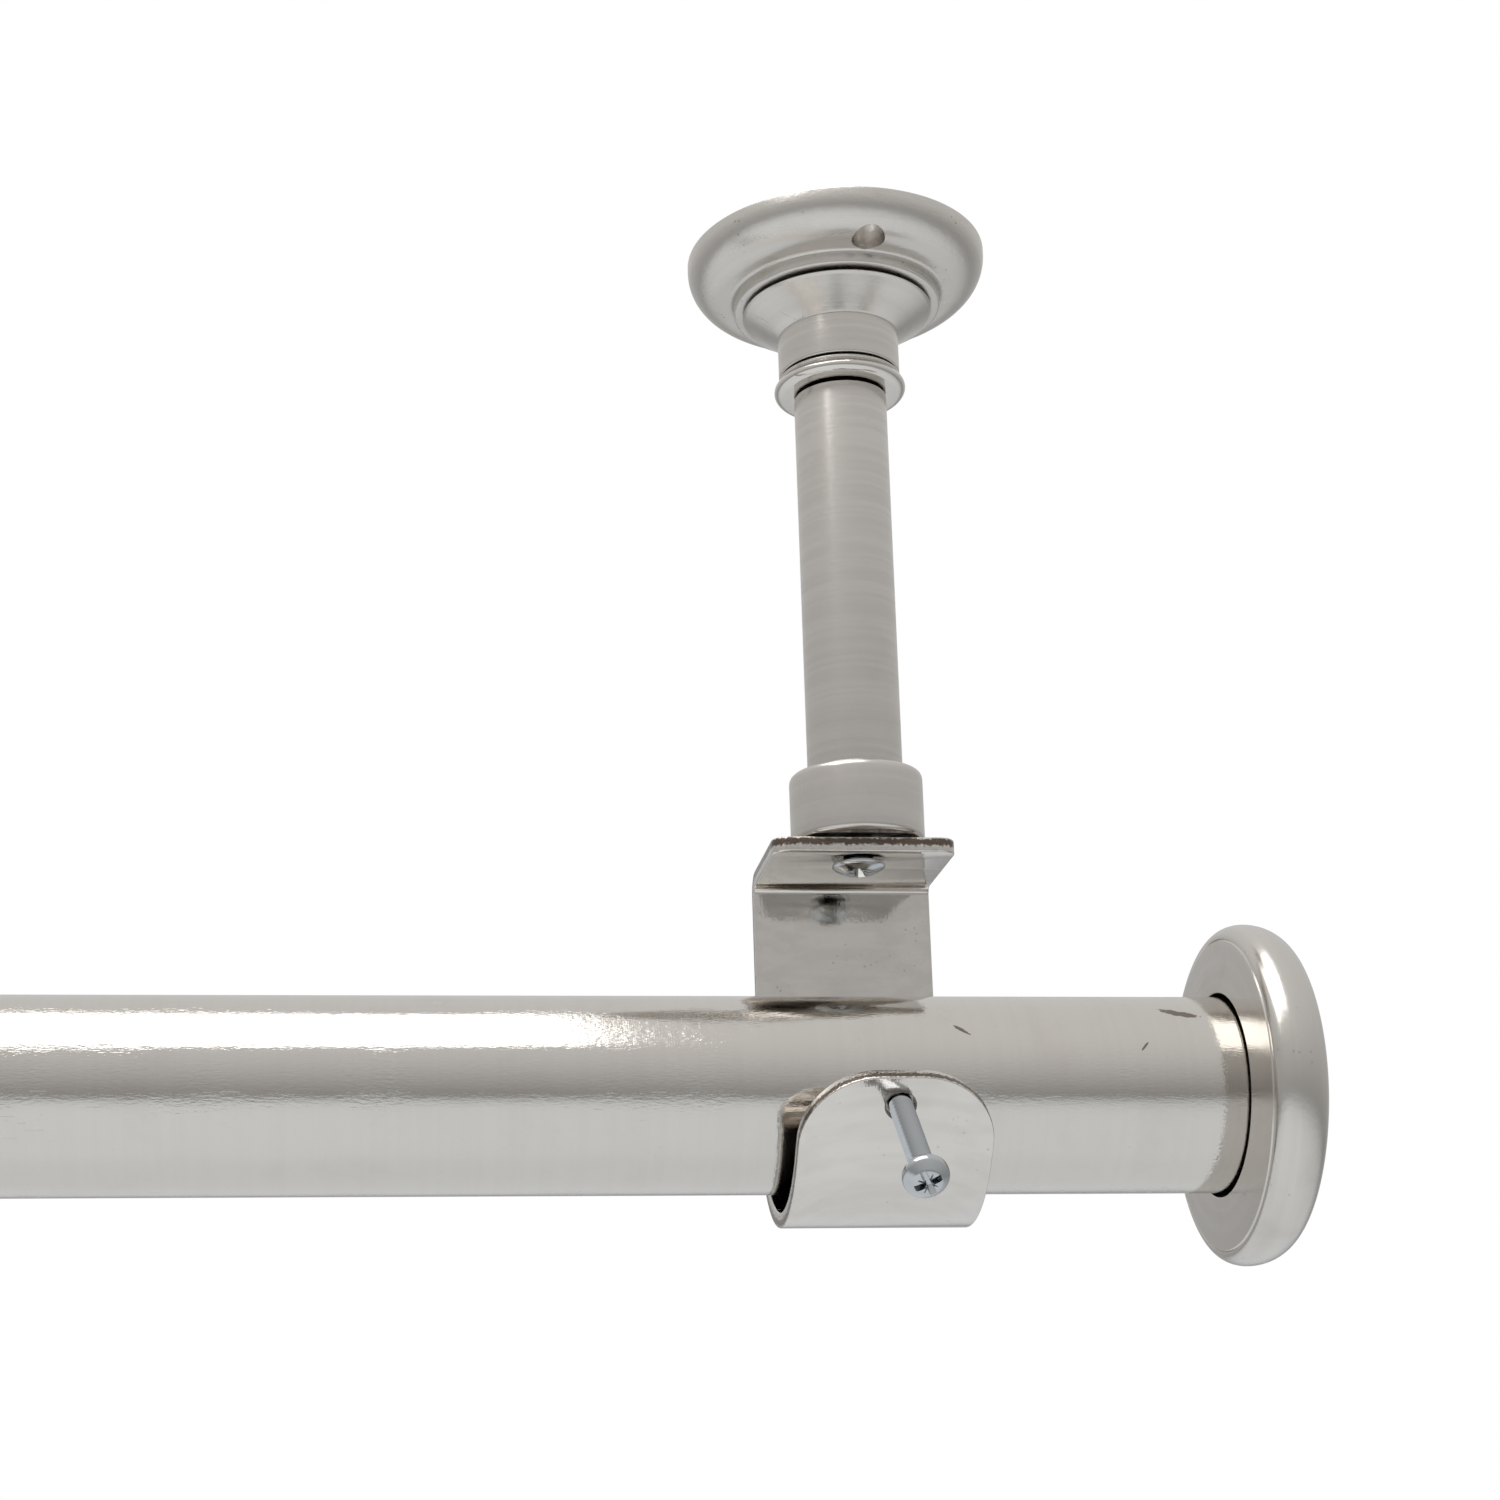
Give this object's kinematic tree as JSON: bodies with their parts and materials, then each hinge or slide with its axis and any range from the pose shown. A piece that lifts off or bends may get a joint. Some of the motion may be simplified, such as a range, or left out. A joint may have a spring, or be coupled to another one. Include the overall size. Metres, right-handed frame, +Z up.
{
  "type": "ceiling-mount curtain rod",
  "caption": "Telescoping metal curtain rod with round end caps, hung below a ceiling from post brackets whose bent strips cradle the rod and clamp it with set screws.",
  "frame": {"origin": "centre of the right ceiling flange's flat back face, in the ceiling's plane", "axes": "+Z up, out of the flange's back into the ceiling; +X along the rod towards the right end cap; -Y is the side the holders open to"},
  "size_m": [0.7112, 0.059, 0.1391],
  "materials": {
    "satin_nickel": "brushed satin nickel plate",
    "polished_nickel": "bright nickel plate",
    "zinc_plate": "bright zinc plate",
    "black_plastic": "moulded matt"
  },
  "bodies": {
    "right_mount": {"right_ceiling_flange": "satin_nickel", "right_flange_cone": "satin_nickel", "right_trim_bead": "polished_nickel", "right_post_tube": "satin_nickel", "right_post_stud": "zinc_plate", "right_post_collar": "satin_nickel"},
    "right_holder": {"right_rod_holder": "polished_nickel", "right_holder_screw": "zinc_plate"},
    "right_clamp": {"right_set_screw": "zinc_plate"},
    "outer_rod": {"outer_tube": "satin_nickel", "right_cap_plug": "black_plastic"},
    "right_cap": {"right_end_cap": "satin_nickel"},
    "inner_rod": {"inner_tube": "satin_nickel", "inner_tube_guide": "black_plastic", "left_cap_plug": "black_plastic"},
    "left_cap": {"left_end_cap": "satin_nickel"},
    "left_holder": {"left_rod_holder": "polished_nickel", "left_holder_screw": "zinc_plate"},
    "left_clamp": {"left_set_screw": "zinc_plate"},
    "left_mount": {"left_ceiling_flange": "satin_nickel", "left_flange_cone": "satin_nickel", "left_trim_bead": "polished_nickel", "left_post_tube": "satin_nickel", "left_post_stud": "zinc_plate", "left_post_collar": "satin_nickel"}
  },
  "joints": [
    {"name": "right_holder_swivel", "type": "hinge", "parent": "right_mount", "child": "right_holder", "pos_m": [0, 0, -0.084], "axis": [0, 0, 1], "range_deg": [-90, 90]},
    {"name": "right_set_screw_travel", "type": "slide", "parent": "right_holder", "child": "right_clamp", "axis": [0, -0.766, -0.6428], "range_m": [-0.0066, 0]},
    {"name": "right_bracket_slide", "type": "slide", "parent": "right_holder", "child": "outer_rod", "axis": [1, 0, 0], "range_m": [-0.03, 0.15]},
    {"name": "right_cap_pull", "type": "slide", "parent": "outer_rod", "child": "right_cap", "axis": [1, 0, 0], "range_m": [0, 0.03]},
    {"name": "rod_extend", "type": "slide", "parent": "outer_rod", "child": "inner_rod", "axis": [-1, 0, 0], "range_m": [0, 0.508]},
    {"name": "left_cap_pull", "type": "slide", "parent": "inner_rod", "child": "left_cap", "axis": [-1, 0, 0], "range_m": [0, 0.03]},
    {"name": "left_bracket_slide", "type": "slide", "parent": "inner_rod", "child": "left_holder", "axis": [1, 0, 0], "range_m": [-0.03, 0.042]},
    {"name": "left_set_screw_travel", "type": "slide", "parent": "left_holder", "child": "left_clamp", "axis": [0, -0.766, -0.6428], "range_m": [-0.0112, 0]},
    {"name": "left_holder_swivel", "type": "hinge", "parent": "left_holder", "child": "left_mount", "pos_m": [-0.6036, -0.0016, -0.084], "axis": [0, 0, 1], "range_deg": [-90, 90]}
  ]
}
